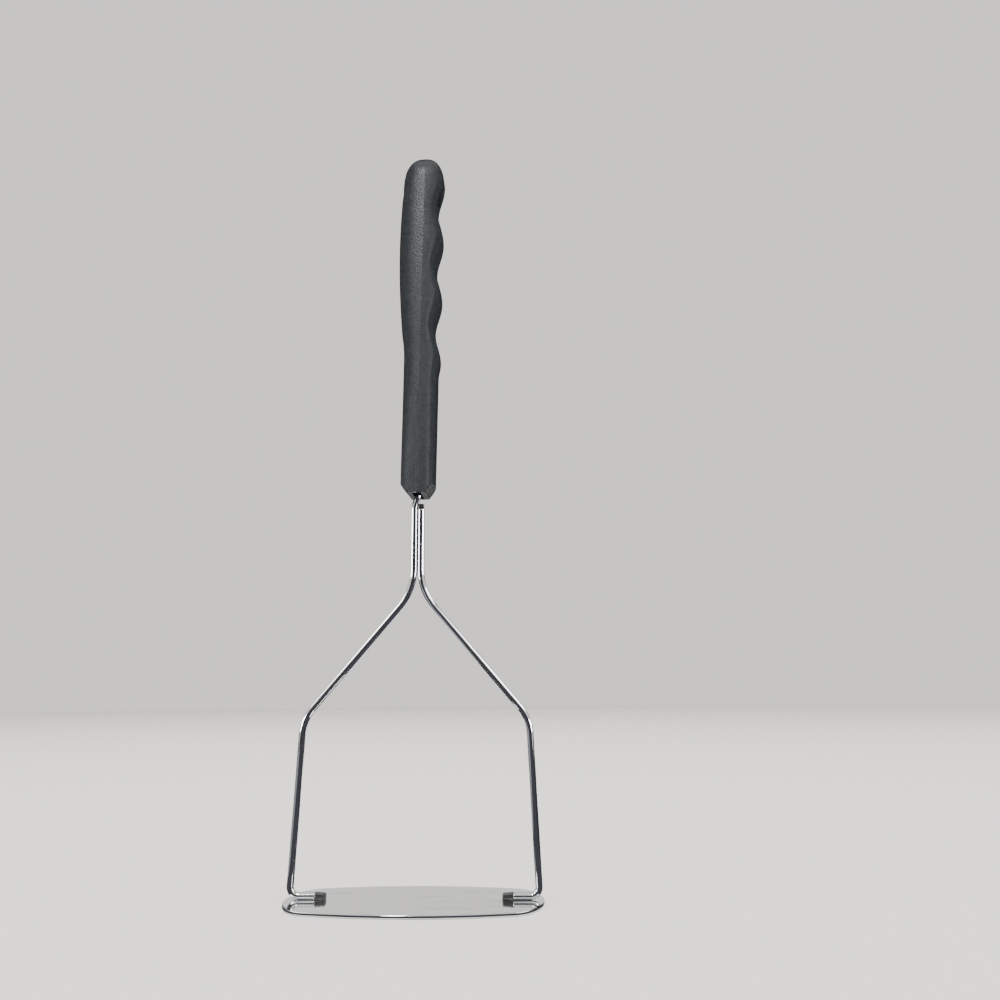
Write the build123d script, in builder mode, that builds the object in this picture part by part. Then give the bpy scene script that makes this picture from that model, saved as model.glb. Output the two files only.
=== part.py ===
from build123d import *

import math
import os

# A potato masher: a moulded handle with three finger grooves, two bent wires that
# carry it, and a solid polished plate that the wires' feet are welded to.
# The origin is the centre of the plate's underside. +Z runs up along the handle,
# +X is the finger side and -Y is the front. Every length is in millimetres.

# Plate
plate_length = 91.9
plate_depth = 44.5
plate_thickness = 1.3
plate_corner_spread = 78.2
plate_corner_depth = 34.9
plate_corner_radius = 11.0
plate_edge_round = 0.35

# Wire frame, built up from the plate
wire_diameter = 2.5
foot_inset = 1.6
foot_length = 9.3
foot_bend_radius = 3.0
shoulder_spread = 83.2
shoulder_height = 63.2
shoulder_bend_radius = 16.0
splay_rise = 47.2
neck_bend_radius = 22.0
neck_rise = 36.4
strand_clearance = 0.05
seat_clearance = 0.02
wire_end_chamfer = 0.2

# Welds
foot_weld_length = 3.8
foot_weld_tip_height = 2.2
foot_weld_round = 0.4
bead_round_share = 0.42
neck_weld_width = 2.1
neck_weld_height = 1.9
neck_weld_round = 0.35
short_strand_drop = 5.2

# Tang: the long strand's upper end, moved to the middle and pressed flat in the slot
jog_rise = 4.0
jog_bend_radius = 7.0
jog_lead = 1.2
press_lift = 1.2
press_length = 1.6
tang_width = 3.0
tang_thickness = 1.7
tang_round = 0.5
tang_seat_length = 55.0
tang_end_chamfer = 0.3

# Handle, built up from its lower end
shank_length = 54.4
crest_flank_length = 5.9
groove_pitch = 26.0
groove_count = 3
groove_depth = 2.45
crown_length = 10.8
dome_height = 10.8
end_palm_reach = 6.45
end_finger_reach = 6.45
end_half_depth = 7.8
waist_palm_reach = 6.05
waist_finger_reach = 7.55
first_crest_reach = 8.3
last_crest_reach = 9.6
palm_swell = 2.4
depth_swell = 0.7
swell_ease = 12.0
parting_offset = 2.6
dome_offset = 0.9
end_chamfer_run = 3.1
end_chamfer_rise = 3.8
hang_hole_diameter = 8.0
hang_hole_drop = 17.3
hang_hole_round = 0.5

# Slot in the handle's lower end and the socket above it
slot_width = 3.4
slot_wall = 1.7
slot_height = 4.0
socket_clearance = 0.05
socket_end_gap = 1.0

# One overrun serves every cut
overrun = 1.0

wire_radius = wire_diameter / 2
strand_offset = (wire_diameter + strand_clearance) / 2
foot_height = plate_thickness + seat_clearance + wire_radius
foot_spread = plate_length - 2 * foot_inset
foot_end = foot_spread / 2 - foot_length
neck_height = shoulder_height + splay_rise
handle_end = neck_height + neck_rise
short_strand_end = handle_end - short_strand_drop
slot_top = handle_end + slot_height
tang_end = slot_top + tang_seat_length
grip_start = handle_end + shank_length
grip_end = grip_start + groove_count * groove_pitch
handle_top = grip_end + crown_length
dome_start = handle_top - dome_height
end_chamfer_slope = end_chamfer_rise / end_chamfer_run

os.makedirs("parts", exist_ok=True)

# Plate: one solid sheet. Its four sides are shallow arcs, blended at the corners.
corner_x = plate_corner_spread / 2
corner_y = plate_corner_depth / 2

with BuildPart() as mash_plate:
    with BuildSketch():
        with BuildLine():
            for way in (1, -1):
                ThreePointArc(
                    (-corner_x, way * corner_y),
                    (0, way * plate_depth / 2),
                    (corner_x, way * corner_y),
                )
                ThreePointArc(
                    (way * corner_x, -corner_y),
                    (way * plate_length / 2, 0),
                    (way * corner_x, corner_y),
                )
        make_face()
    extrude(amount=plate_thickness)
    fillet(mash_plate.edges().filter_by(Axis.Z), plate_corner_radius)
    rims = mash_plate.faces().filter_by(Axis.Z).edges()
    fillet(rims, plate_edge_round)
mash_plate.part.label = "mash_plate"
export_step(mash_plate.part, "parts/mash_plate.step")

# Short strand: from its foot up the right side, over the shoulder and into the neck
with BuildPart() as right_wire:
    with BuildLine(Plane.XZ):
        FilletPolyline(
            (foot_end, foot_height),
            (foot_spread / 2, foot_height),
            (shoulder_spread / 2, shoulder_height),
            (strand_offset, neck_height),
            (strand_offset, short_strand_end),
            radius=[foot_bend_radius, shoulder_bend_radius, neck_bend_radius],
        )
    with BuildSketch(Plane.YZ.offset(foot_end)):
        with Locations((0, foot_height)):
            Circle(wire_radius)
    sweep()
    ends = right_wire.faces().sort_by(Axis.Z)[-1].edges()
    chamfer(ends, wire_end_chamfer)
right_wire.part.label = "right_wire"
export_step(right_wire.part, "parts/right_wire.step")

# Long strand: the mirror image up to the neck, then on to the handle's middle, where it
# is pressed flat into a tang
press_start = handle_end + press_lift
press_end = press_start + press_length
jog_end = press_start - jog_lead

with BuildPart() as left_wire:
    with BuildLine(Plane.XZ):
        FilletPolyline(
            (-foot_end, foot_height),
            (-foot_spread / 2, foot_height),
            (-shoulder_spread / 2, shoulder_height),
            (-strand_offset, neck_height),
            (-strand_offset, jog_end - jog_rise),
            (0, jog_end),
            (0, press_start),
            radius=[
                foot_bend_radius,
                shoulder_bend_radius,
                neck_bend_radius,
                jog_bend_radius,
                jog_bend_radius,
            ],
        )
    with BuildSketch(Plane.YZ.offset(-foot_end)):
        with Locations((0, foot_height)):
            Circle(wire_radius)
    sweep()
    with BuildSketch(Plane.XY.offset(press_start)):
        Circle(wire_radius)
    with BuildSketch(Plane.XY.offset(press_end)):
        RectangleRounded(tang_width, tang_thickness, tang_round)
    loft()
    with BuildSketch(Plane.XY.offset(press_end)):
        RectangleRounded(tang_width, tang_thickness, tang_round)
    extrude(amount=tang_end - press_end)
    chamfer(left_wire.faces().sort_by(Axis.Z)[-1].edges(), tang_end_chamfer)
left_wire.part.label = "left_wire"
export_step(left_wire.part, "parts/left_wire.step")

# Foot welds: a bead at the end of each foot, round on top and seated on the plate
weld_floor = plate_thickness + seat_clearance
for side, name in ((-1, "left_foot_weld"), (1, "right_foot_weld")):
    with BuildPart() as foot_weld:
        for inset, height in ((0, wire_diameter), (foot_weld_length, foot_weld_tip_height)):
            with BuildSketch(Plane.YZ.offset(side * (foot_end - inset))):
                with BuildLine():
                    FilletPolyline(
                        (-height / 2, weld_floor),
                        (-height / 2, weld_floor + height),
                        (height / 2, weld_floor + height),
                        (height / 2, weld_floor),
                        radius=height * bead_round_share,
                    )
                    Line((height / 2, weld_floor), (-height / 2, weld_floor))
                make_face()
        loft()
        tips = foot_weld.faces().sort_by(Axis.X)[0 if side == 1 else -1].edges()
        fillet(tips.sort_by(Axis.Z)[1:], foot_weld_round)
    foot_weld.part.label = name
    export_step(foot_weld.part, f"parts/{name}.step")

# Neck weld: the block on the short strand's end, against the long strand
with BuildPart() as neck_weld:
    with BuildSketch(Plane.XY.offset(short_strand_end)):
        with Locations((strand_offset, 0)):
            RectangleRounded(neck_weld_width, wire_diameter, neck_weld_round)
    extrude(amount=neck_weld_height)
    fillet(neck_weld.faces().sort_by(Axis.Z)[-1].edges(), neck_weld_round)
neck_weld.part.label = "neck_weld"
export_step(neck_weld.part, "parts/neck_weld.step")


def blend(low, high, share):
    """The value a share of the way from low to high, eased in and out."""
    share = min(max(share, 0), 1)
    return low + (high - low) * share * share * (3 - 2 * share)


# The handle's section is four curves, each a quarter turn. The shares say how square
# each side of it is, and how little its front falls away from the parting line.
end_square_share = 0.97
grip_palm_share = 0.78
grip_finger_share = 0.9
draft_share = 0.965
grip_palm_draft_share = 0.92
dome_power = 2.0
dome_tip_share = 0.12


def handle_section(height):
    """Palm reach, finger reach and half depth at a height, then the two squareness
    shares and the palm side's draft share."""
    shank_share = (height - handle_end) / shank_length
    grip_share = (height - grip_start) / (handle_top - grip_start)
    if height < grip_start:
        palm = end_palm_reach + (waist_palm_reach - end_palm_reach) * shank_share
        finger = end_finger_reach + (waist_finger_reach - end_finger_reach) * shank_share
        flank_share = 1 + (height - grip_start) / crest_flank_length
        finger = blend(finger, first_crest_reach, flank_share)
        half_depth = end_half_depth
    else:
        waves = (min(height, grip_end) - grip_start) / groove_pitch
        crest = first_crest_reach
        crest += (last_crest_reach - first_crest_reach) * waves / groove_count
        finger = crest - groove_depth * (1 - math.cos(2 * math.pi * waves)) / 2
        swell = blend(0, math.sin(math.pi * grip_share), (height - grip_start) / swell_ease)
        palm = waist_palm_reach + palm_swell * swell
        half_depth = end_half_depth + depth_swell * swell
    palm_share = blend(end_square_share, grip_palm_share, shank_share)
    finger_share = blend(end_square_share, grip_finger_share, shank_share)
    palm_draft = blend(draft_share, grip_palm_draft_share, shank_share)
    return palm, finger, half_depth, palm_share, finger_share, palm_draft


# Heights of the sections, each with how much of the full section is left there. The
# shank has its own few, and the grip's run on in a quarter turn over the rounded top.
shank_steps = 5
grip_steps = 39
dome_steps = 8
flank_start = grip_start - crest_flank_length
shank_stations = []
for step in range(shank_steps + 1):
    shank_stations.append((handle_end + (flank_start - handle_end) * step / shank_steps, 1))
grip_stations = []
for step in range(grip_steps + 1):
    grip_stations.append((flank_start + (dome_start - flank_start) * step / grip_steps, 1))
for step in range(1, dome_steps + 1):
    angle = math.pi / 2 * step / dome_steps
    rise = dome_height * math.sin(angle) ** (2 / dome_power)
    factor = max(math.cos(angle), 0) ** (2 / dome_power)
    grip_stations.append((dome_start + rise, max(factor, dome_tip_share)))

# Handle: one moulding. A slot in its lower end leads to the socket that the tang is
# pressed into, and a hole runs through its top from the finger side to the palm side.
with BuildPart() as handle:
    for stations in (shank_stations, grip_stations):
        for height, factor in stations:
            section = handle_section(height)
            palm, finger, half_depth, palm_share, finger_share, palm_draft = section
            middle = parting_offset * (height - handle_end) / (handle_top - handle_end)
            middle = dome_offset + (middle - dome_offset) * factor
            right = dome_offset + (finger - dome_offset) * factor
            left = dome_offset - (palm + dome_offset) * factor
            deep = half_depth * factor
            quarters = [
                (right, finger_share, draft_share, -1, False),
                (left, palm_share, palm_draft, -1, True),
                (left, palm_share, palm_draft, 1, False),
                (right, finger_share, draft_share, 1, True),
            ]
            with BuildSketch(Plane.XY.offset(height)):
                with BuildLine():
                    for side, share, draft, way, turned in quarters:
                        points = [
                            (side, 0),
                            (side, way * deep * share),
                            (middle + (side - middle) * share, way * deep * draft),
                            (middle, way * deep),
                        ]
                        Bezier(*(points[::-1] if turned else points))
                make_face()
        loft()
    with BuildSketch(Plane.XZ):
        for reach, way in ((end_finger_reach, 1), (end_palm_reach, -1)):
            with BuildLine():
                Polyline(
                    (way * (reach - end_chamfer_run), handle_end),
                    (way * (reach + overrun), handle_end + end_chamfer_slope * (end_chamfer_run + overrun)),
                    (way * (reach + overrun), handle_end - overrun),
                    (way * (reach - end_chamfer_run), handle_end - overrun),
                    close=True,
                )
            make_face()
    extrude(amount=end_half_depth + overrun, both=True, mode=Mode.SUBTRACT)
    with BuildSketch(Plane.XY.offset(handle_end - overrun)):
        Rectangle(slot_width, 2 * (end_half_depth - slot_wall))
    extrude(amount=slot_height + overrun, mode=Mode.SUBTRACT)
    with BuildSketch(Plane.XY.offset(slot_top)):
        RectangleRounded(
            tang_width + 2 * socket_clearance,
            tang_thickness + 2 * socket_clearance,
            tang_round + socket_clearance,
        )
    extrude(amount=tang_seat_length + socket_end_gap, mode=Mode.SUBTRACT)
    with BuildSketch(Plane.YZ):
        with Locations((0, handle_top - hang_hole_drop)):
            Circle(hang_hole_diameter / 2)
    extrude(amount=last_crest_reach + overrun, both=True, mode=Mode.SUBTRACT)
    bore = handle.faces().filter_by(GeomType.CYLINDER).sort_by(Axis.Z)[-1]
    fillet(bore.edges().filter_by(lambda edge: edge.geom_type != GeomType.LINE), hang_hole_round)
handle.part.label = "handle"
export_step(handle.part, "parts/handle.step")
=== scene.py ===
import bpy
import numpy as np
from mathutils import Matrix, Vector


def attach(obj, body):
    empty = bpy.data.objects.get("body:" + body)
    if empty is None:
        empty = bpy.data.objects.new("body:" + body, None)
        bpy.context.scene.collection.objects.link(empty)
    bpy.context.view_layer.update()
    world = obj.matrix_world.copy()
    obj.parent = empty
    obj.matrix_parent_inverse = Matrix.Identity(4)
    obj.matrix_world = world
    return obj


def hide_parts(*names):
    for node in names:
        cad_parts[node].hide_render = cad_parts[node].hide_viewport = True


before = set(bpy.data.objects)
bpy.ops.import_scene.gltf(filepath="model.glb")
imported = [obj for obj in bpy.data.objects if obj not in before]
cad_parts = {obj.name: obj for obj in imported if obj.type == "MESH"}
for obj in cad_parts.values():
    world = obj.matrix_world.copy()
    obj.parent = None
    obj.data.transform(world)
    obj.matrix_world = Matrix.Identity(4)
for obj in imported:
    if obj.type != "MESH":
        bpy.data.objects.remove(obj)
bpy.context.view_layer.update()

# Mashing plate
# A flat stainless sheet 1.3 mm thick, cut to a long rounded outline, its edges broken
# and its face polished to a mirror. The feet of both wires are welded to it.
PLATE_LENGTH = 91.9
PLATE_DEPTH = 44.5
PLATE_THICKNESS = 1.3
CORNER_SPREAD = 78.2
CORNER_DEPTH = 34.9
CORNER_RADIUS = 11.0
PLATE_EDGE = 0.35
FACE_BAND = 8.0
ARC_STEPS = 96
EDGE_STEPS = 7


def linear(code):
    """An sRGB hex colour as linear light: each channel, as a share of 255, is divided by
    12.92 where it is small, and elsewhere raised to 2.4 after adding 0.055 and dividing
    by 1.055."""
    share = np.array([int(code[i : i + 2], 16) for i in (1, 3, 5)]) / 255
    light = np.where(share <= 0.04045, share / 12.92, ((share + 0.055) / 1.055) ** 2.4)
    return (*light, 1.0)


def per_metre(size):
    """The scale of a pattern whose marks have a size in mm: how many of them a metre
    holds, which is 1000 divided by the size."""
    return 1000 / size


def add_node(tree, kind, settings=None, links=None):
    """Adds one shader node, sets its properties and sockets by name, and links outputs
    to its inputs."""
    made = tree.nodes.new(kind)
    for name, value in (settings or {}).items():
        if hasattr(made, name):
            setattr(made, name, value)
        else:
            made.inputs[name].default_value = value
    for name, source in (links or {}).items():
        tree.links.new(source, made.inputs[name])
    return made


def new_material(name):
    """An empty material, its node tree, and the object's own coordinates in it."""
    made = bpy.data.materials.new(name)
    made.use_nodes = True
    made.node_tree.nodes.clear()
    place = add_node(made.node_tree, "ShaderNodeTexCoord").outputs["Object"]
    return made, made.node_tree, place


def finish_material(tree, shader):
    """Links a shader to the surface of the material's output."""
    add_node(tree, "ShaderNodeOutputMaterial", {}, {"Surface": shader.outputs[0]})


def rings_to_faces(rings, count):
    """Quads between each ring of points and the next, all the way round."""
    row = np.arange(rings - 1)[:, None] * count
    step = np.arange(count)[None, :]
    turn = (step + 1) % count
    quads = np.stack([row + step, row + turn, row + count + turn, row + count + step], -1)
    return quads.reshape(-1, 4)


def add_piece(name, points, quads, material, node, flat=None, caps=()):
    """A mesh in millimetres made into a piece in metres that stands for a CAD node. Its
    quads are smooth where they aren't marked flat, and its caps are flat."""
    mesh = bpy.data.meshes.new(name)
    faces = [tuple(face) for face in quads.tolist()] + [tuple(face) for face in caps]
    mesh.from_pydata((np.asarray(points) / 1000).tolist(), [], faces)
    smooth = np.ones(len(mesh.polygons), dtype=bool)
    if flat is not None:
        smooth[: len(flat)] = ~flat
    smooth[len(quads) :] = False
    mesh.polygons.foreach_set("use_smooth", smooth)
    mesh.update()
    mesh.materials.append(material)
    made = bpy.data.objects.new(name, mesh)
    bpy.context.scene.collection.objects.link(made)
    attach(made, "root")
    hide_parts(node)
    return made


def arc_centre(reach, along, across):
    """Centre distance and radius of the arc through a side's middle and its two ends:
    the sagitta formula."""
    sag = reach - along
    radius = (sag * sag + across * across) / (2 * sag)
    return reach - radius, radius


def circle_points(centre_x, centre_y, radius, turns):
    """Points of a circle: its centre plus the radius times the cosine and the sine."""
    return np.c_[centre_x + radius * np.cos(turns), centre_y + radius * np.sin(turns)]


def plate_outline(inset):
    """The plate's outline, pulled in by an inset. Each quarter is part of a side's arc, a
    corner arc that touches both sides, and part of the next side's arc. The corner's
    centre is where the two side circles, made smaller by its radius, cross."""
    long_y, long_r = arc_centre(PLATE_DEPTH / 2, CORNER_DEPTH / 2, CORNER_SPREAD / 2)
    short_x, short_r = arc_centre(PLATE_LENGTH / 2, CORNER_SPREAD / 2, CORNER_DEPTH / 2)
    far, near = short_r - CORNER_RADIUS, long_r - CORNER_RADIUS
    gap = np.hypot(short_x, long_y)
    along = (far * far - near * near + gap * gap) / (2 * gap)
    aside = np.sqrt(far * far - along * along)
    ux, uy = -short_x / gap, long_y / gap
    centre_x = short_x + ux * along - uy * aside
    centre_y = uy * along + ux * aside
    turn_a = np.arctan2(centre_y, centre_x - short_x)
    turn_b = np.arctan2(centre_y - long_y, centre_x)
    a = np.linspace(0, turn_a, ARC_STEPS, endpoint=False)
    b = np.linspace(turn_a, turn_b, ARC_STEPS, endpoint=False)
    c = np.linspace(turn_b, np.pi / 2, ARC_STEPS, endpoint=False)
    quarter = np.concatenate(
        [
            circle_points(short_x, 0, short_r - inset, a),
            circle_points(centre_x, centre_y, CORNER_RADIUS - inset, b),
            circle_points(0, long_y, long_r - inset, c),
            np.array([[0.0, PLATE_DEPTH / 2 - inset]]),
        ]
    )
    upper = np.concatenate([quarter, (quarter * [-1, 1])[::-1][1:]])
    return np.concatenate([upper, (upper * [1, -1])[::-1][1:-1]])


# The rim from below: a flat band, the broken lower edge, the broken upper edge and a
# flat band again. Inside the bands, the middle of each face is one polygon.
turn = np.linspace(0, np.pi / 2, EDGE_STEPS)
low = [(PLATE_EDGE * (1 - np.sin(t)), PLATE_EDGE * (1 - np.cos(t))) for t in turn]
high = [(inset, PLATE_THICKNESS - height) for inset, height in low[::-1]]
profile = [(FACE_BAND, 0.0)] + low + high + [(FACE_BAND, PLATE_THICKNESS)]
outlines = [plate_outline(inset) for inset, _ in profile]
around = len(outlines[0])
points = np.concatenate(
    [np.c_[line, np.full(around, height)] for line, (_, height) in zip(outlines, profile)]
)
quads = rings_to_faces(len(profile), around)
flat = np.zeros(len(quads), dtype=bool)
flat[:around] = True
flat[-around:] = True
caps = [list(range(around))[::-1], list(range(len(points) - around, len(points)))]

# Mirror-polished stainless steel. It gives a clear, slightly soft mirror image of the
# feet and the room, with hairlines and smears from wiping, and is a little cloudy.
# Sizes are in mm, along the marks and across them, and turns in radians. Real
# hairlines are too fine to show, so these are drawn wider.
HAIRLINE, HAIRLINE_TURN = (25.0, 0.7143, 0.7143), 0.2
SMEAR, SMEAR_TURN = (22.22, 3.846, 3.846), -0.12
POLISH_CLOUD = 16.67

mirror_steel, tree, place = new_material("mirror_polished_stainless_steel")
stretch = add_node(
    tree,
    "ShaderNodeMapping",
    {"Scale": tuple(per_metre(size) for size in HAIRLINE), "Rotation": (0, 0, HAIRLINE_TURN)},
    {"Vector": place},
)
hairlines = add_node(
    tree,
    "ShaderNodeTexNoise",
    {"Scale": 1.0, "Detail": 3.0},
    {"Vector": stretch.outputs[0]},
)
cloud = add_node(
    tree,
    "ShaderNodeTexNoise",
    {"Scale": per_metre(POLISH_CLOUD), "Detail": 4.0},
    {"Vector": place},
)
gloss = add_node(
    tree,
    "ShaderNodeMapRange",
    {"From Min": 0.35, "From Max": 0.75, "To Min": 0.05, "To Max": 0.13},
    {"Value": cloud.outputs["Fac"]},
)
relief = add_node(
    tree,
    "ShaderNodeBump",
    {"Strength": 0.05, "Distance": 0.00002},
    {"Height": hairlines.outputs["Fac"]},
)
wiped = add_node(
    tree,
    "ShaderNodeMapping",
    {"Scale": tuple(per_metre(size) for size in SMEAR), "Rotation": (0, 0, SMEAR_TURN)},
    {"Vector": place},
)
smears = add_node(
    tree,
    "ShaderNodeTexNoise",
    {"Scale": 1.0, "Detail": 4.0},
    {"Vector": wiped.outputs[0]},
)
film = add_node(
    tree,
    "ShaderNodeMapRange",
    {"From Min": 0.55, "From Max": 0.75, "To Min": 0.0, "To Max": 1.0},
    {"Value": smears.outputs["Fac"]},
)
sheen = add_node(
    tree,
    "ShaderNodeMix",
    {"data_type": "RGBA", "A": linear("#e5e6e7"), "B": linear("#cccdd0")},
    {"Factor": film.outputs[0]},
)
steel = add_node(
    tree,
    "ShaderNodeBsdfPrincipled",
    {"Metallic": 1.0},
    {
        "Base Color": sheen.outputs["Result"],
        "Roughness": gloss.outputs[0],
        "Normal": relief.outputs[0],
    },
)
finish_material(tree, steel)
add_piece("plate_sheet", points, quads, mirror_steel, "mash_plate", flat, caps)

# Wire frame
# Two strands of 2.5 mm drawn steel wire, bent as mirror images and chrome plated. Each
# runs from a foot lying on the plate up an arm, over a shoulder and into the neck.
WIRE = 2.5
SEAT = 0.02
STRAND_GAP = 0.05
FOOT_INSET = 1.6
FOOT_LENGTH = 9.3
SHOULDER_SPREAD = 83.2
SHOULDER_HEIGHT = 63.2
SPLAY_RISE = 47.2
NECK_RISE = 36.4
SHORT_DROP = 5.2
FRAME_RADII = (3.0, 16.0, 22.0)
WIRE_ROUND = 48
BEND_SPACING = 0.35
BEND_STEPS = 12
WAVE_DIGITS = 9

# A cut end's edge is broken by four rings. Each pair says how far in the ring lies and
# how much smaller it is, both as shares of the edge.
CUT_EDGE = 0.2
CUT_RING_SHARES = np.array([(0.0, 1.0), (0.3, 0.4), (1.0, 0.0), (1.4, 0.0)])

FOOT_SPREAD = PLATE_LENGTH - 2 * FOOT_INSET
STRAND_OFFSET = (WIRE + STRAND_GAP) / 2
NECK_HEIGHT = SHOULDER_HEIGHT + SPLAY_RISE
HANDLE_END = NECK_HEIGHT + NECK_RISE
SHORT_END = HANDLE_END - SHORT_DROP


def bent_line(corners, radii):
    """A wire's centre line in the X-Z plane: straight runs joined by arcs. An arc starts
    and ends its radius times the tangent of half the turn from its corner, and its points
    are the start turned about the arc's centre."""
    corners = np.array(corners, float)
    runs = np.diff(corners, axis=0)
    ways = runs / np.linalg.norm(runs, axis=1)[:, None]
    spots, heads = [corners[:1]], [ways[:1]]
    for corner, before, after, radius in zip(corners[1:-1], ways, ways[1:], radii):
        bend = np.arctan2(before[0] * after[1] - before[1] * after[0], before @ after)
        reach = radius * np.tan(abs(bend) / 2)
        swing = np.linspace(0, bend, max(int(abs(bend) * radius / BEND_SPACING), BEND_STEPS))
        side = np.array([-before[1], before[0]]) * np.sign(bend)
        start = corner - before * reach
        centre = start + side * radius
        arm = start - centre
        cos, sin = np.cos(swing), np.sin(swing)
        spots.append(centre + np.c_[arm[0] * cos - arm[1] * sin, arm[0] * sin + arm[1] * cos])
        heads.append(np.c_[before[0] * cos - before[1] * sin, before[0] * sin + before[1] * cos])
    spots.append(corners[-1:])
    heads.append(ways[-1:])
    return np.concatenate(spots), np.concatenate(heads)


def rounded_side(wave, half, corner):
    """One coordinate of a rectangle with round corners: the corner's centre, on the side
    that the sine or cosine gives, plus the corner's radius times that wave. A wave that
    is zero but for its last digits lies on neither side."""
    return np.sign(np.round(wave, WAVE_DIGITS)) * (half - corner) + corner * wave


def wire_surface(spots, heads, halves):
    """A tube round a centre line. Each ring lies across the line's direction, and
    its half width, half depth and corner radius are given: a ring is a circle where the
    three are equal, and a rectangle with round corners elsewhere."""
    angle = np.linspace(0, 2 * np.pi, WIRE_ROUND, endpoint=False)
    corner = halves[:, 2:3]
    across = rounded_side(np.cos(angle), halves[:, :1], corner)
    deep = rounded_side(np.sin(angle), halves[:, 1:2], corner)
    side = np.c_[heads[:, 1], -heads[:, 0]]
    x = spots[:, :1] + side[:, :1] * across
    z = spots[:, 1:] + side[:, 1:] * across
    points = np.stack([x, deep, z], -1).reshape(-1, 3)
    return points, rings_to_faces(len(spots), WIRE_ROUND)


def closed_ends(spots, heads, halves):
    """The line with four rings at each end, so that a cut end has a broken edge: the half
    sizes grow over the first three, and the last two are alike."""
    near, fall = CUT_EDGE * CUT_RING_SHARES.T[:, :, None]
    start = spots[:1] + heads[:1] * near
    end = spots[-1:] - heads[-1:] * near[::-1]
    spots = np.concatenate([start, spots[1:-1], end])
    first, last = (heads[place].repeat(len(near), axis=0) for place in ([0], [-1]))
    heads = np.concatenate([first, heads[1:-1], last])
    halves = np.concatenate([halves[:1] - fall, halves[1:-1], halves[-1:] - fall[::-1]])
    return spots, heads, halves


# Bright chrome over drawn steel. It mirrors the room in long stripes along the wire, a
# little softened and bent by the uneven wire under the plating. The real marks are far
# too fine to show, so the unevenness is drawn as waves about 3 mm long.
DRAWING_WAVE = 2.857

bright_chrome, tree, place = new_material("chrome_plated_drawn_steel")
drawn = add_node(
    tree,
    "ShaderNodeTexNoise",
    {"Scale": per_metre(DRAWING_WAVE), "Detail": 2.0},
    {"Vector": place},
)
gloss = add_node(
    tree,
    "ShaderNodeMapRange",
    {"From Min": 0.3, "From Max": 0.7, "To Min": 0.04, "To Max": 0.09},
    {"Value": drawn.outputs["Fac"]},
)
relief = add_node(
    tree,
    "ShaderNodeBump",
    {"Strength": 0.018, "Distance": 0.00005},
    {"Height": drawn.outputs["Fac"]},
)
chrome = add_node(
    tree,
    "ShaderNodeBsdfPrincipled",
    {"Base Color": linear("#e3e5e7"), "Metallic": 1.0},
    {"Roughness": gloss.outputs[0], "Normal": relief.outputs[0]},
)
finish_material(tree, chrome)


def add_strand(name, node, spots, heads, halves):
    """A strand's surface, with its ends broken and capped, made into a piece."""
    points, quads = wire_surface(*closed_ends(spots, heads, halves))
    first = list(range(WIRE_ROUND))
    last = list(range(len(points) - WIRE_ROUND, len(points)))
    caps = [first[::-1], last]
    add_piece(name, points, quads, bright_chrome, node, None, caps)


foot_height = PLATE_THICKNESS + SEAT + WIRE / 2
foot_end = FOOT_SPREAD / 2 - FOOT_LENGTH
right_corners = [
    (foot_end, foot_height),
    (FOOT_SPREAD / 2, foot_height),
    (SHOULDER_SPREAD / 2, SHOULDER_HEIGHT),
    (STRAND_OFFSET, NECK_HEIGHT),
    (STRAND_OFFSET, SHORT_END),
]
spots, heads = bent_line(right_corners, FRAME_RADII)
add_strand("short_strand", "right_wire", spots, heads, np.full((len(spots), 3), WIRE / 2))

# The long strand goes on into the handle: it steps to the middle, and its end is pressed
# into a flat tang that the handle is pushed onto.
JOG_RISE = 4.0
JOG_RADIUS = 7.0
JOG_LEAD = 1.2
PRESS_LIFT = 1.2
PRESS_LENGTH = 1.6
PRESS_STEPS = 8
TANG_WIDTH = 3.0
TANG_THICKNESS = 1.7
TANG_ROUND = 0.5
TANG_INSIDE = 59.0

TANG_END = HANDLE_END + TANG_INSIDE
press_start = HANDLE_END + PRESS_LIFT
jog_end = press_start - JOG_LEAD
left_corners = [(-x, z) for x, z in right_corners[:4]]
left_corners += [(-STRAND_OFFSET, jog_end - JOG_RISE), (0.0, jog_end), (0.0, press_start)]
spots, heads = bent_line(left_corners, FRAME_RADII + (JOG_RADIUS, JOG_RADIUS))
share = np.linspace(0, 1, PRESS_STEPS + 1)[1:]
pressed = np.c_[np.zeros(PRESS_STEPS), press_start + PRESS_LENGTH * share]
spots = np.concatenate([spots, pressed, [(0.0, TANG_END)]])
heads = np.concatenate([heads, np.tile((0.0, 1.0), (PRESS_STEPS + 1, 1))])
round_half = np.full(3, WIRE / 2)
flat_half = np.array([TANG_WIDTH / 2, TANG_THICKNESS / 2, TANG_ROUND])
halves = np.full((len(spots), 3), WIRE / 2)
halves[-PRESS_STEPS - 1 : -1] = round_half + (flat_half - round_half) * share[:, None]
halves[-1] = flat_half
add_strand("long_strand", "left_wire", spots, heads, halves)

# Welds
# Three small beads of weld metal: one at the end of each foot, joining it to the plate,
# and one on the short strand's cut end, joining it to the long strand. The heat left
# them dark and dull.
FOOT_BEAD = 3.8
FOOT_BEAD_TIP = 2.2
BEAD_POWER = 4.0
BEAD_COUNT = 40
BEAD_SIDE_SHARE = 0.35
BEAD_START_SHARES = (0, 0.02, 0.08)
BEAD_START_EASE = 0.93
BEAD_TIP_SHARE = 0.14
BEAD_TIP_TURN = 0.2
BEAD_TIP_FALL = 0.45
BEAD_MIDDLE_STEPS = 10
BEAD_TIP_STEPS = 7
NECK_WELD_WIDTH = 2.1
NECK_WELD_HEIGHT = 1.9
NECK_WELD_ROUND = 0.35
NECK_WELD_CORNER = 0.45
NECK_WELD_SEAM = 0.08
NECK_WELD_COUNT = 48
NECK_WELD_STEPS = 6

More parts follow.
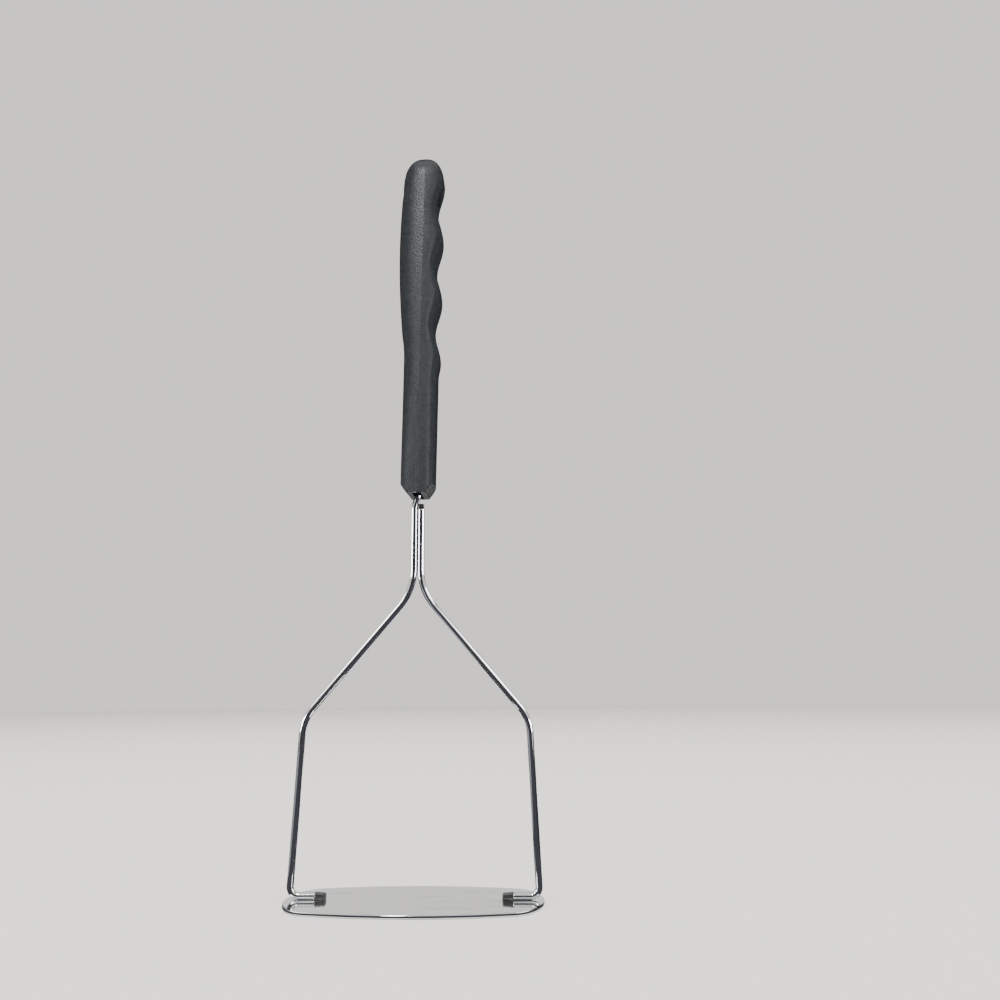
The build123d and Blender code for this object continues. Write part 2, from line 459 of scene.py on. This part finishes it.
# Weld metal darkened by the heat. Its scale of oxide gives a rough, spotted dark grey.
# The spots are drawn about 1 mm wide, coarser than real ones, so that they show.
OXIDE_SPOT = 1.111

burnt_steel, tree, place = new_material("heat_darkened_weld_metal")
scale_spots = add_node(
    tree,
    "ShaderNodeTexNoise",
    {"Scale": per_metre(OXIDE_SPOT), "Detail": 4.0},
    {"Vector": place},
)
tint = add_node(
    tree,
    "ShaderNodeMix",
    {"data_type": "RGBA", "A": linear("#303031"), "B": linear("#5f5e5e")},
    {"Factor": scale_spots.outputs["Fac"]},
)
relief = add_node(
    tree,
    "ShaderNodeBump",
    {"Strength": 0.4, "Distance": 0.0001},
    {"Height": scale_spots.outputs["Fac"]},
)
weld_metal = add_node(
    tree,
    "ShaderNodeBsdfPrincipled",
    {"Metallic": 0.85, "Roughness": 0.42},
    {"Base Color": tint.outputs["Result"], "Normal": relief.outputs[0]},
)
finish_material(tree, weld_metal)


def bead_surface(along, half, high, floor):
    """A bead lying on the plate. Each section across it is a flat-bottomed arch: the upper
    half of a rounded square, |y|^p + |z|^p = 1, on two short upright feet."""
    angle = np.linspace(0, np.pi, BEAD_COUNT)
    cos, sin = np.cos(angle), np.sin(angle)
    y = np.sign(cos) * np.abs(cos) ** (2 / BEAD_POWER)
    z = np.abs(sin) ** (2 / BEAD_POWER)
    arch_y = half[:, None] * y
    arch_z = floor + high[:, None] * (BEAD_SIDE_SHARE + (1 - BEAD_SIDE_SHARE) * z)
    base = np.full((len(along), 1), floor)
    ring_y = np.concatenate([arch_y[:, :1], arch_y, arch_y[:, -1:]], 1)
    ring_z = np.concatenate([base, arch_z, base], 1)
    ring_x = np.repeat(along[:, None], BEAD_COUNT + 2, 1)
    return np.stack([ring_x, ring_y, ring_z], -1).reshape(-1, 3), BEAD_COUNT + 2


# Along a foot bead the sections crowd at both ends, and shrink at its free end.
tip_start = 1 - BEAD_TIP_SHARE
middle = np.linspace(BEAD_TIP_SHARE, tip_start, BEAD_MIDDLE_STEPS)
tip = tip_start + BEAD_TIP_SHARE * np.sin(np.linspace(BEAD_TIP_TURN, np.pi / 2, BEAD_TIP_STEPS))
share = np.concatenate([BEAD_START_SHARES, middle, tip])
ease = np.sqrt(1 - BEAD_TIP_FALL * (np.maximum(share - tip_start, 0) / BEAD_TIP_SHARE) ** 2)
ease[0] = BEAD_START_EASE
high = (WIRE + (FOOT_BEAD_TIP - WIRE) * share) * ease
for side, word in ((-1, "left"), (1, "right")):
    along = side * (foot_end - FOOT_BEAD * share)
    points, count = bead_surface(along, high / 2, high, PLATE_THICKNESS + SEAT)
    quads = rings_to_faces(len(along), count)
    first, last = list(range(count)), list(range(len(points) - count, len(points)))
    caps = [first[::-1], last]
    if side == 1:
        quads = quads[:, ::-1]
        caps = [first, last[::-1]]
    name, node = word + "_foot_bead", word + "_foot_weld"
    add_piece(name, points, quads, burnt_steel, node, None, caps)

# The neck bead: a block with round upright corners, its lower edge broken against the
# cut wire and its upper edge rounded over.
angle = np.linspace(0, 2 * np.pi, NECK_WELD_COUNT, endpoint=False)
turn = np.linspace(0, np.pi / 2, NECK_WELD_STEPS)
top_levels = NECK_WELD_HEIGHT - NECK_WELD_ROUND * (1 - np.sin(turn))
levels = np.concatenate([[0.0, NECK_WELD_SEAM], top_levels])
insets = np.concatenate([[NECK_WELD_SEAM, 0.0], NECK_WELD_ROUND * (1 - np.cos(turn))])[:, None]
cos, sin = np.cos(angle), np.sin(angle)
x = STRAND_OFFSET + rounded_side(cos, NECK_WELD_WIDTH / 2, NECK_WELD_CORNER) - insets * cos
y = rounded_side(sin, WIRE / 2, NECK_WELD_CORNER) - insets * sin
z = np.repeat((SHORT_END + levels)[:, None], NECK_WELD_COUNT, 1)
points = np.stack([x, y, z], -1).reshape(-1, 3)
quads = rings_to_faces(len(levels), NECK_WELD_COUNT)
first = list(range(NECK_WELD_COUNT))
last = list(range(len(points) - NECK_WELD_COUNT, len(points)))
caps = [first[::-1], last]
add_piece("neck_bead", points, quads, burnt_steel, "neck_weld", None, caps)

# Handle
# One moulding of black polypropylene, pushed onto the tang: a slim shank, a grip with
# three finger grooves, a rounded top with a hanging hole, and two chamfers at its end.
SHANK_LENGTH = 54.4
CREST_FLANK = 5.9
GROOVE_PITCH = 26.0
GROOVE_COUNT = 3
GROOVE_DEPTH = 2.45
CROWN_LENGTH = 10.8
DOME_HEIGHT = 10.8
DOME_POWER = 2.0
END_PALM, END_FINGER, END_HALF = 6.45, 6.45, 7.8
WAIST_PALM, WAIST_FINGER = 6.05, 7.55
FIRST_CREST, LAST_CREST = 8.3, 9.6
PALM_SWELL, DEPTH_SWELL, SWELL_EASE = 2.4, 0.7, 12.0
SEAM_OFFSET, DOME_OFFSET = 2.6, 0.9
SEAM_LINE_DEPTH, SEAM_LINE_HALF, SEAM_LINE_TOP = 0.2, 0.35, 192.0
END_EDGE = 0.25
CHAMFER_RUN, CHAMFER_RISE = 3.1, 3.8
HOLE_RADIUS, HOLE_DROP, HOLE_ROUND = 4.0, 17.3, 0.5
SLOT_WIDTH, SLOT_WALL, SLOT_HEIGHT = 3.4, 1.7, 4.0
SOCKET_GAP, SOCKET_END_GAP = 0.05, 1.0

# How square each side of the section is, and how little its front falls away from the
# seam, all as shares of the reach and the half depth.
END_SQUARE, GRIP_PALM, GRIP_FINGER = 0.97, 0.78, 0.9
DRAFT, GRIP_PALM_DRAFT = 0.965, 0.92

GRIP_START = HANDLE_END + SHANK_LENGTH
GRIP_END = GRIP_START + GROOVE_COUNT * GROOVE_PITCH
HANDLE_TOP = GRIP_END + CROWN_LENGTH
DOME_START = HANDLE_TOP - DOME_HEIGHT
HOLE_Z = HANDLE_TOP - HOLE_DROP


def eased(share):
    """A share held between 0 and 1 and eased in and out: s times s times (3 - 2 s)."""
    share = np.clip(share, 0, 1)
    return share * share * (3 - 2 * share)


def handle_point(height, turn):
    """A point of the handle's skin. The height gives the reach to both sides, the depth
    and how square each side is; over the rounded top all of them shrink as a rounded
    square, |r|^p + |h|^p = 1. The turn runs from 0 at the front seam through 1 on the
    finger side, 2 at the back seam and 3 on the palm side. Each quarter is one Bezier
    curve, which runs front to back at the side's middle and nearly level at the seam.
    The seam's line is a shallow bell-shaped groove. The chamfers cut the reach to both
    sides evenly towards the lower end."""
    height, turn = np.broadcast_arrays(np.asarray(height, float), np.asarray(turn, float))
    shank = (height - HANDLE_END) / SHANK_LENGTH
    low = height < GRIP_START
    swell = eased((height - GRIP_START) / SWELL_EASE)
    swell = swell * np.sin(np.pi * np.clip((height - GRIP_START) / (HANDLE_TOP - GRIP_START), 0, 1))
    palm = np.where(low, END_PALM + (WAIST_PALM - END_PALM) * shank, WAIST_PALM + PALM_SWELL * swell)
    plain = END_FINGER + (WAIST_FINGER - END_FINGER) * shank
    plain = plain + (FIRST_CREST - plain) * eased(1 + (height - GRIP_START) / CREST_FLANK)
    waves = (np.minimum(height, GRIP_END) - GRIP_START) / GROOVE_PITCH
    wavy = FIRST_CREST + (LAST_CREST - FIRST_CREST) * waves / GROOVE_COUNT
    wavy = wavy - GROOVE_DEPTH * (1 - np.cos(2 * np.pi * waves)) / 2
    finger = np.where(low, plain, wavy)
    deep = END_HALF + np.where(low, 0, DEPTH_SWELL * swell)
    rise = np.clip((height - DOME_START) / DOME_HEIGHT, 0, 1)
    left_over = np.maximum(1 - rise**DOME_POWER, 0) ** (1 / DOME_POWER)
    middle = SEAM_OFFSET * (height - HANDLE_END) / (HANDLE_TOP - HANDLE_END)
    on_finger = np.abs(turn - 1) <= 1
    side = np.where(on_finger, finger, -palm)
    side = DOME_OFFSET + (side - DOME_OFFSET) * left_over
    middle = DOME_OFFSET + (middle - DOME_OFFSET) * left_over
    deep = deep * left_over
    square = END_SQUARE + (np.where(on_finger, GRIP_FINGER, GRIP_PALM) - END_SQUARE) * eased(shank)
    draft = DRAFT + np.where(on_finger, 0, GRIP_PALM_DRAFT - DRAFT) * eased(shank)
    t = np.abs(turn % 2 - 1)
    back = np.where((turn > 1) & (turn < 3), 1.0, -1.0)
    b0, b1, b2, b3 = (1 - t) ** 3, 3 * (1 - t) ** 2 * t, 3 * (1 - t) * t**2, t**3
    x = side * (b0 + b1) + (middle + (side - middle) * square) * b2 + middle * b3
    y = back * deep * (square * b1 + draft * b2 + b3)
    line = SEAM_LINE_DEPTH * eased((SEAM_LINE_TOP - height) / SWELL_EASE)
    y = y - back * line * np.exp(-(((x - middle) / SEAM_LINE_HALF) ** 2))
    cut = (height - HANDLE_END) / CHAMFER_RISE
    x = np.where(cut < 1, np.minimum(x, END_FINGER - CHAMFER_RUN * (1 - cut)), x)
    x = np.where(cut < 1, np.maximum(x, -END_PALM + CHAMFER_RUN * (1 - cut)), x)
    return np.stack([x, y, height], -1)


# The skin's grid. The turns crowd at both seams, for the fine line there, and are even
# across each side, where the grid has a window for the hanging hole: its reach up and
# down from the hole's middle is in mm, and its reach to both sides is in turns. Over the
# top the rows follow an angle that ends a gap short of upright, where a flat cap closes
# the skin, and the first of them keeps a gap from the window.
WINDOW, WINDOW_TURN, HALF_STEPS = 6.6, 0.48, 12
LEAD_STEPS, LEAD_POWER = 23, 1.6
CHAMFER_ROWS, BODY_ROWS, DOME_ROWS = 15, 236, 36
DOME_FIRST, DOME_GAP, ROW_GAP = 0.3, 0.012, 0.15

lead = np.linspace(0, 1, LEAD_STEPS)[:-1] ** LEAD_POWER * (1 - WINDOW_TURN)
quarter = np.concatenate([lead, 1 - WINDOW_TURN * np.linspace(1, 0, HALF_STEPS + 1)[:-1]])
half_turn = np.concatenate([quarter, [1.0], 2 - quarter[:0:-1]])
turns = np.concatenate([half_turn, half_turn + 2])
around = len(turns)
steps = 2 * HALF_STEPS
chamfer_top = HANDLE_END + CHAMFER_RISE
climb = np.linspace(DOME_FIRST, np.pi / 2 - DOME_GAP, DOME_ROWS)
over = DOME_START + DOME_HEIGHT * np.sin(climb) ** (2 / DOME_POWER)
heights = np.concatenate(
    [
        np.linspace(HANDLE_END + END_EDGE, chamfer_top, CHAMFER_ROWS)[:-1],
        np.linspace(chamfer_top, HOLE_Z - WINDOW, BODY_ROWS)[:-1],
        np.linspace(HOLE_Z - WINDOW, HOLE_Z + WINDOW, steps + 1),
        over[over > HOLE_Z + WINDOW + ROW_GAP],
    ]
)
skin = handle_point(heights[:, None], turns[None, :])
rows = len(heights)
window_row = CHAMFER_ROWS + BODY_ROWS - 2

# The hanging hole. The window's border is walked with y and z growing first, as places
# in the grid, and its points' directions from the hole's axis give those of each ring.
TURN_REACH, HALVINGS = 0.999, 26
SKIN_RINGS, MOUTH_RINGS, BORE_RINGS = 7, 6, 4

up, down = np.arange(steps), np.arange(steps, 0, -1)
border_y = np.concatenate([up, np.full(steps, steps), down, np.zeros(steps, int)])
border_z = np.concatenate([np.zeros(steps, int), up, np.full(steps, steps), down])
finger_column, palm_column = len(lead), around // 2 + len(lead)
finger_border = (window_row + border_z) * around + finger_column + border_y
palm_border = (window_row + border_z) * around + palm_column + steps - border_y
border_height = heights[window_row + border_z]
border_spot = skin.reshape(-1, 3)[finger_border]
angle = np.arctan2(border_spot[:, 2] - HOLE_Z, border_spot[:, 1])
mouth = HOLE_RADIUS + HOLE_ROUND
mouth_y, mouth_z = mouth * np.cos(angle), HOLE_Z + mouth * np.sin(angle)


def turn_at(height, y, side):
    """The turn on one side where the skin has a given y: the half turn that holds it is
    cut in two again and again, keeping the half in which y lies."""
    near = np.full(np.shape(y), side - TURN_REACH)
    far = np.full(np.shape(y), side + TURN_REACH)
    way = 1 if side == 1 else -1
    for _ in range(HALVINGS):
        half = (near + far) / 2
        short = (handle_point(height, half)[..., 1] - y) * way < 0
        near, far = np.where(short, half, near), np.where(short, far, half)
    return (near + far) / 2


def hole_side(border_turn, side):
    """The rings of one side of the hanging hole, from the window's border inwards: first
    on the skin, each a share of the way from the border to the mouth, then round the
    mouth's edge in a quarter turn down to the bore."""
    share = np.linspace(0, 1, SKIN_RINGS + 1)[1:, None]
    mouth_turn = turn_at(mouth_z, mouth_y, side)
    on_skin = handle_point(
        border_height + (mouth_z - border_height) * share,
        border_turn + (mouth_turn - border_turn) * share,
    )
    fall = np.linspace(0, np.pi / 2, MOUTH_RINGS + 1)[1:, None]
    radius = mouth - HOLE_ROUND * np.sin(fall)
    way = 1 if side == 1 else -1
    x = on_skin[-1, :, 0] - way * HOLE_ROUND * (1 - np.cos(fall))
    y, z = radius * np.cos(angle), HOLE_Z + radius * np.sin(angle)
    return np.concatenate([on_skin, np.stack([x, y, z], -1)])


finger_side = hole_side(turns[finger_column + border_y], 1)
palm_side = hole_side(turns[palm_column + steps - border_y], 3)
share = np.linspace(0, 1, BORE_RINGS + 2)[1:-1, None, None]
bore = finger_side[-1] + (palm_side[-1] - finger_side[-1]) * share
hole = np.concatenate([finger_side, bore, palm_side[::-1]])
hole_start = rows * around
hole_ids = hole_start + np.arange(len(hole) * len(angle)).reshape(len(hole), -1)
hole_ids = np.concatenate([finger_border[None], hole_ids, palm_border[None]])
hole_next = np.roll(hole_ids, -1, axis=1)
hole_quads = np.stack([hole_ids[:-1], hole_next[:-1], hole_next[1:], hole_ids[1:]], -1).reshape(-1, 4)

skin_quads = rings_to_faces(rows, around)
row, column = np.divmod(np.arange(len(skin_quads)), around)
in_rows = (row >= window_row) & (row < window_row + steps)
on_finger_side = (column >= finger_column) & (column < finger_column + steps)
on_palm_side = (column >= palm_column) & (column < palm_column + steps)
skin_quads = skin_quads[~(in_rows & (on_finger_side | on_palm_side))]

# The lower end: its rim eased over, a flat face, the slot, and the blind socket above
# it for the tang.
RIM_RINGS = 4

first_ring = skin[0]
reach = np.hypot(first_ring[:, 0], first_ring[:, 1])[:, None]
heading = np.arctan2(first_ring[:, 1], first_ring[:, 0])
end_rings = []
for fall in np.linspace(0, np.pi / 2, RIM_RINGS + 1)[1:]:
    ring = first_ring.copy()
    ring[:, :2] *= 1 - END_EDGE * (1 - np.cos(fall)) / reach
    ring[:, 2] = HANDLE_END + END_EDGE * (1 - np.sin(fall))
    end_rings.append(ring)


def box_ring(half_x, half_y, height):
    """A rectangle cut by the ring's own directions, with the nearest point of the ring
    moved to each corner."""
    tiny = 1e-9
    x, y = np.cos(heading), np.sin(heading)
    scale = np.minimum(half_x / np.maximum(np.abs(x), tiny), half_y / np.maximum(np.abs(y), tiny))
    ring = np.stack([x * scale, y * scale, np.full(around, height)], -1)
    corners = np.array([(a * half_x, b * half_y) for a in (1, -1) for b in (1, -1)])
    toward = np.arctan2(corners[:, 1], corners[:, 0])
    off = np.abs((heading[:, None] - toward + np.pi) % (2 * np.pi) - np.pi)
    ring[off.argmin(axis=0), :2] = corners
    return ring


slot_x, slot_y = SLOT_WIDTH / 2, END_HALF - SLOT_WALL
slot_top = HANDLE_END + SLOT_HEIGHT
socket_x, socket_y = TANG_WIDTH / 2 + SOCKET_GAP, TANG_THICKNESS / 2 + SOCKET_GAP
end_rings += [
    box_ring(slot_x, slot_y, HANDLE_END),
    box_ring(slot_x, slot_y, slot_top),
    box_ring(socket_x, socket_y, slot_top),
    box_ring(socket_x, socket_y, TANG_END + SOCKET_END_GAP),
]
end_start = hole_start + len(hole) * len(angle)
end_ids = end_start + np.arange(len(end_rings) * around).reshape(-1, around)
end_ids = np.concatenate([np.arange(around)[None], end_ids])
end_next = np.roll(end_ids, -1, axis=1)
end_quads = np.stack([end_ids[:-1], end_ids[1:], end_next[1:], end_next[:-1]], -1).reshape(-1, 4)
flat_end = np.repeat(np.arange(len(end_ids) - 1) >= RIM_RINGS, around)
points = np.concatenate([skin.reshape(-1, 3), hole.reshape(-1, 3), np.concatenate(end_rings)])
quads = np.concatenate([skin_quads, hole_quads, end_quads])
flat = np.concatenate([np.zeros(len(skin_quads) + len(hole_quads), bool), flat_end])
top_cap = list(range((rows - 1) * around, rows * around))
socket_cap = end_ids[-1][::-1].tolist()

# Black polypropylene, moulded against a finely sparked steel tool. It is a soft, slightly
# bluish black with a pebble grain that breaks the highlights into small glints, uneven
# in tone over about 2 mm and in gloss over about 11 mm. The real grain is near 0.2 mm,
# and is drawn coarser so that it shows.
PEBBLE = 0.5882
PEBBLE_PATCH = 2.0
WEAR_PATCH = 11.11

black_plastic, tree, place = new_material("moulded_black_polypropylene")
grain = add_node(
    tree,
    "ShaderNodeTexVoronoi",
    {"Scale": per_metre(PEBBLE)},
    {"Vector": place},
)
coarse = add_node(
    tree,
    "ShaderNodeTexNoise",
    {"Scale": per_metre(PEBBLE_PATCH), "Detail": 4.0},
    {"Vector": place},
)
height_of_grain = add_node(
    tree,
    "ShaderNodeMath",
    {"operation": "ADD"},
    {0: grain.outputs["Distance"], 1: coarse.outputs["Fac"]},
)
relief = add_node(
    tree,
    "ShaderNodeBump",
    {"Strength": 0.42, "Distance": 0.00012},
    {"Height": height_of_grain.outputs[0]},
)
wear = add_node(
    tree,
    "ShaderNodeTexNoise",
    {"Scale": per_metre(WEAR_PATCH), "Detail": 3.0},
    {"Vector": place},
)
gloss = add_node(
    tree,
    "ShaderNodeMapRange",
    {"From Min": 0.3, "From Max": 0.7, "To Min": 0.27, "To Max": 0.36},
    {"Value": wear.outputs["Fac"]},
)
tint = add_node(
    tree,
    "ShaderNodeMix",
    {"data_type": "RGBA", "A": linear("#24272a"), "B": linear("#393c40")},
    {"Factor": coarse.outputs["Fac"]},
)
plastic = add_node(
    tree,
    "ShaderNodeBsdfPrincipled",
    {"IOR": 1.49, "Specular IOR Level": 0.25},
    {
        "Base Color": tint.outputs["Result"],
        "Roughness": gloss.outputs[0],
        "Normal": relief.outputs[0],
    },
)
finish_material(tree, plastic)
add_piece(
    "handle_moulding",
    points,
    quads,
    black_plastic,
    "handle",
    flat,
    [top_cap, socket_cap],
)

# Floor
# A round off-white board that ends in a pale grey room. It lies a hair under the plate
# and has no gloss, so that it stays plain. Its reach and its drop are in metres.
FLOOR_REACH = 3.35
FLOOR_SIDES = 96
FLOOR_DROP = 0.00002
FIBRE = 3.846

turn = np.linspace(0, 2 * np.pi, FLOOR_SIDES, endpoint=False)
rim = np.c_[circle_points(0, 0, FLOOR_REACH, turn), np.full(FLOOR_SIDES, -FLOOR_DROP)]
mesh = bpy.data.meshes.new("floor")
mesh.from_pydata(rim.tolist(), [], [list(range(FLOOR_SIDES))])
floor = bpy.data.objects.new("floor", mesh)
bpy.context.scene.collection.objects.link(floor)

# Matte board. Its paper fibres give a faint, soft unevenness of tone. The real fibres
# can't be seen from here, so they are drawn as clouds about 4 mm wide.
paper, tree, place = new_material("matte_off_white_board")
fibre = add_node(
    tree,
    "ShaderNodeTexNoise",
    {"Scale": per_metre(FIBRE), "Detail": 5.0},
    {"Vector": place},
)
tint = add_node(
    tree,
    "ShaderNodeMix",
    {"data_type": "RGBA", "A": linear("#e4e2df"), "B": linear("#ebe9e6")},
    {"Factor": fibre.outputs["Fac"]},
)
relief = add_node(
    tree,
    "ShaderNodeBump",
    {"Strength": 0.15, "Distance": 0.0003},
    {"Height": fibre.outputs["Fac"]},
)
board = add_node(
    tree,
    "ShaderNodeBsdfPrincipled",
    {"Roughness": 0.85, "Specular IOR Level": 0.0},
    {"Base Color": tint.outputs["Result"], "Normal": relief.outputs[0]},
)
finish_material(tree, board)
mesh.materials.append(paper)

# Light
# A pale room and soft panels. The ceiling panel lights everything, and the four side
# panels shine on the metal alone, to draw the white lines in it. The highlight panel
# and the two fill panels show only as gloss, and the fills shine on the handle alone.
ROOM_TONE, ROOM_STRENGTH = "#d2d0cd", 1.6

# Each panel's place, its aim, its width and its height, all in metres, and its watts.
PANELS = {
    "left_panel": ((-0.95, -0.2, 0.225), (0, 0, 0.2), 0.84, 0.27, 7.5),
    "right_panel": ((0.95, -0.15, 0.225), (0, 0, 0.2), 0.84, 0.27, 7.5),
    "ceiling_panel": ((0, -0.2, 2.2), (0, 0, 0), 2.4, 2.4, 84.0),
    "highlight_panel": ((-0.25, -0.8, 1.04), (0, 0, 0.27), 0.06, 0.5, 7.5),
    "left_high_panel": ((-0.85, -0.25, 0.75), (0, 0, 0.09), 1.0, 0.3, 6.0),
    "right_high_panel": ((0.85, -0.2, 0.75), (0, 0, 0.09), 1.0, 0.3, 6.0),
    "left_fill_panel": ((-0.37, -0.7, 0.46), (0, 0, 0.18), 0.2, 0.3, 0.9),
    "right_fill_panel": ((0.38, -0.7, 0.46), (0, 0, 0.18), 0.2, 0.3, 1.4),
}
FILL_PANELS = ("left_fill_panel", "right_fill_panel")
SIDE_PANELS = ("left_panel", "right_panel", "left_high_panel", "right_high_panel")
METAL_PIECES = (
    "plate_sheet",
    "short_strand",
    "long_strand",
    "left_foot_bead",
    "right_foot_bead",
    "neck_bead",
)

world = bpy.data.worlds.new("pale_room")
bpy.context.scene.world = world
world.use_nodes = True
room = world.node_tree.nodes["Background"]
room.inputs["Color"].default_value = linear(ROOM_TONE)
room.inputs["Strength"].default_value = ROOM_STRENGTH


def soft_panel(name, place, aim, width, height, power):
    """A rectangular lamp at a place, turned so that it faces its aim."""
    lamp = bpy.data.lights.new(name, "AREA")
    lamp.shape = "RECTANGLE"
    lamp.size, lamp.size_y, lamp.energy = width, height, power
    made = bpy.data.objects.new(name, lamp)
    made.location = place
    made.rotation_euler = (Vector(aim) - Vector(place)).to_track_quat("-Z", "Y").to_euler()
    bpy.context.scene.collection.objects.link(made)
    return made


def shine_on(lamps, group, piece_names):
    """Makes the lamps light the named pieces alone."""
    lit = bpy.data.collections.new(group)
    for name in piece_names:
        lit.objects.link(bpy.data.objects[name])
    for lamp in lamps:
        lamp.light_linking.receiver_collection = lit


panels = {name: soft_panel(name, *values) for name, values in PANELS.items()}
fills = [panels[name] for name in FILL_PANELS]
sides = [panels[name] for name in SIDE_PANELS]
panels["ceiling_panel"].visible_glossy = False
for lamp in [panels["highlight_panel"]] + fills:
    lamp.visible_diffuse = False
shine_on(fills, "moulded_pieces", ("handle_moulding",))
shine_on(sides, "shiny_pieces", METAL_PIECES)

# Dark cards
# Sheets of matte felt that are seen only as reflections, like the cards that a studio
# stands just out of the picture. They draw the dark lines in the chrome and darken the
# handle's edges. All sizes are in metres.
CARD_LIFT = 0.0004

# The corners of the cards on the floor: a black one under the masher and in front of
# it, a grey one on each side, and a black one behind.
FRONT_FLOOR = (
    (-0.09, 0.25),
    (-0.09, 0),
    (-1.53, -2.5),
    (2.5, -2.5),
    (2.5, -0.45),
    (0.2, -0.05),
    (0.2, 0.25),
)
LEFT_FLOOR = ((-0.09, 0.25), (-0.09, 0), (-1.53, -2.5), (-2.5, -2.5), (-2.5, 0.25))
RIGHT_FLOOR = ((0.2, 0.25), (0.2, -0.05), (2.5, -0.45), (2.5, 0.25))
BACK_FLOOR = ((-0.3, 0.4), (0.3, 0.4), (0.3, 1.2), (-0.3, 1.2))

# Cards behind the masher, close behind its handle and behind the camera: two points of
# the floor that the card stands over, and the heights of its lower and upper edge.
STANDING_CARDS = {
    "back_card": ((-0.22, 0.3), (0.22, 0.3), 0.12, 0.22),
    "handle_card": ((-0.07, 0.025), (0.07, 0.025), 0.15, 0.42),
    "camera_card": ((-1.25, -0.9), (1.4, -0.9), 0.0, 0.42),
}

# Cards on the right, each with its mirror image on the left.
PAIRED_CARDS = {
    "side_card": ((0.16, 0.22), (0.28, -0.02), 0.0, 0.1),
    "low_card": ((0.15, -0.1), (0.15, 0.17), 0.0, 0.045),
    "back_card": ((0.15, 0.08), (0.15, 0.35), 0.06, 0.22),
    "near_card": ((0.06, -0.04), (0.06, 0.07), 0.165, 0.42),
    "front_card": ((0.06, -0.04), (0.032, -0.07), 0.19, 0.42),
}


def felt_material(name, tone):
    """Matte felt. It gives the eye nothing but an even dark tone in a reflection."""
    made, tree, _ = new_material(name)
    finish_material(tree, add_node(tree, "ShaderNodeBsdfDiffuse", {"Color": linear(tone)}))
    return made


def dark_card(name, corners, felt):
    """A flat card with the given corners that only glossy reflections see."""
    mesh = bpy.data.meshes.new(name)
    mesh.from_pydata(corners, [], [tuple(range(len(corners)))])
    mesh.materials.append(felt)
    made = bpy.data.objects.new(name, mesh)
    bpy.context.scene.collection.objects.link(made)
    made.visible_camera = made.visible_diffuse = made.visible_shadow = False
    made.visible_transmission = made.visible_volume_scatter = False


def floor_card(name, outline, felt):
    """A card that lies just above the floor."""
    dark_card(name, [(x, y, CARD_LIFT) for x, y in outline], felt)


def standing_card(name, start, end, low, high, felt, side=1):
    """A card that stands over the line between two points of the floor, mirrored where
    the side is -1."""
    line = [(side * x, y) for x, y in (start, end)]
    corners = [(*spot, low) for spot in line] + [(*spot, high) for spot in line[::-1]]
    dark_card(name, corners, felt)


black_felt = felt_material("black_felt", "#313236")
grey_felt = felt_material("grey_felt", "#7a7d84")
floor_card("front_floor_card", FRONT_FLOOR, black_felt)
floor_card("left_floor_card", LEFT_FLOOR, grey_felt)
floor_card("right_floor_card", RIGHT_FLOOR, grey_felt)
floor_card("back_floor_card", BACK_FLOOR, black_felt)
for name, values in STANDING_CARDS.items():
    standing_card(name, *values, black_felt)
for word, side in (("left", -1), ("right", 1)):
    for name, values in PAIRED_CARDS.items():
        felt = grey_felt if (word, name) == ("left", "low_card") else black_felt
        standing_card(f"{word}_{name}", *values, felt, side)

# Camera
# It stands in front of the masher, a little to the right, and tilts up to the handle.
# Its picture is square. Its place and its sensor's width are in millimetres, its angles
# in degrees, and the nearest distance that it sees in metres.
CAMERA_PLACE = (45.86, -334.47, 74.28)
CAMERA_YAW, CAMERA_PITCH, CAMERA_ROLL = 2.4446, 11.8682, 0.4803
FOCAL_PIXELS, PICTURE_PIXELS = 890.96, 1000
SENSOR_WIDTH = 36.0
NEAREST = 0.01

lens = bpy.data.cameras.new("camera")
lens.sensor_width = SENSOR_WIDTH
lens.lens = SENSOR_WIDTH * FOCAL_PIXELS / PICTURE_PIXELS
lens.clip_start = NEAREST
camera = bpy.data.objects.new("camera", lens)
yaw, pitch, roll = np.radians((CAMERA_YAW, CAMERA_PITCH, CAMERA_ROLL))
turned = Matrix.Rotation(yaw, 4, "Z")
turned = turned @ Matrix.Rotation(np.pi / 2 + pitch, 4, "X") @ Matrix.Rotation(-roll, 4, "Z")
camera.matrix_world = Matrix.Translation(Vector(CAMERA_PLACE) / 1000) @ turned
bpy.context.scene.collection.objects.link(camera)
bpy.context.scene.camera = camera
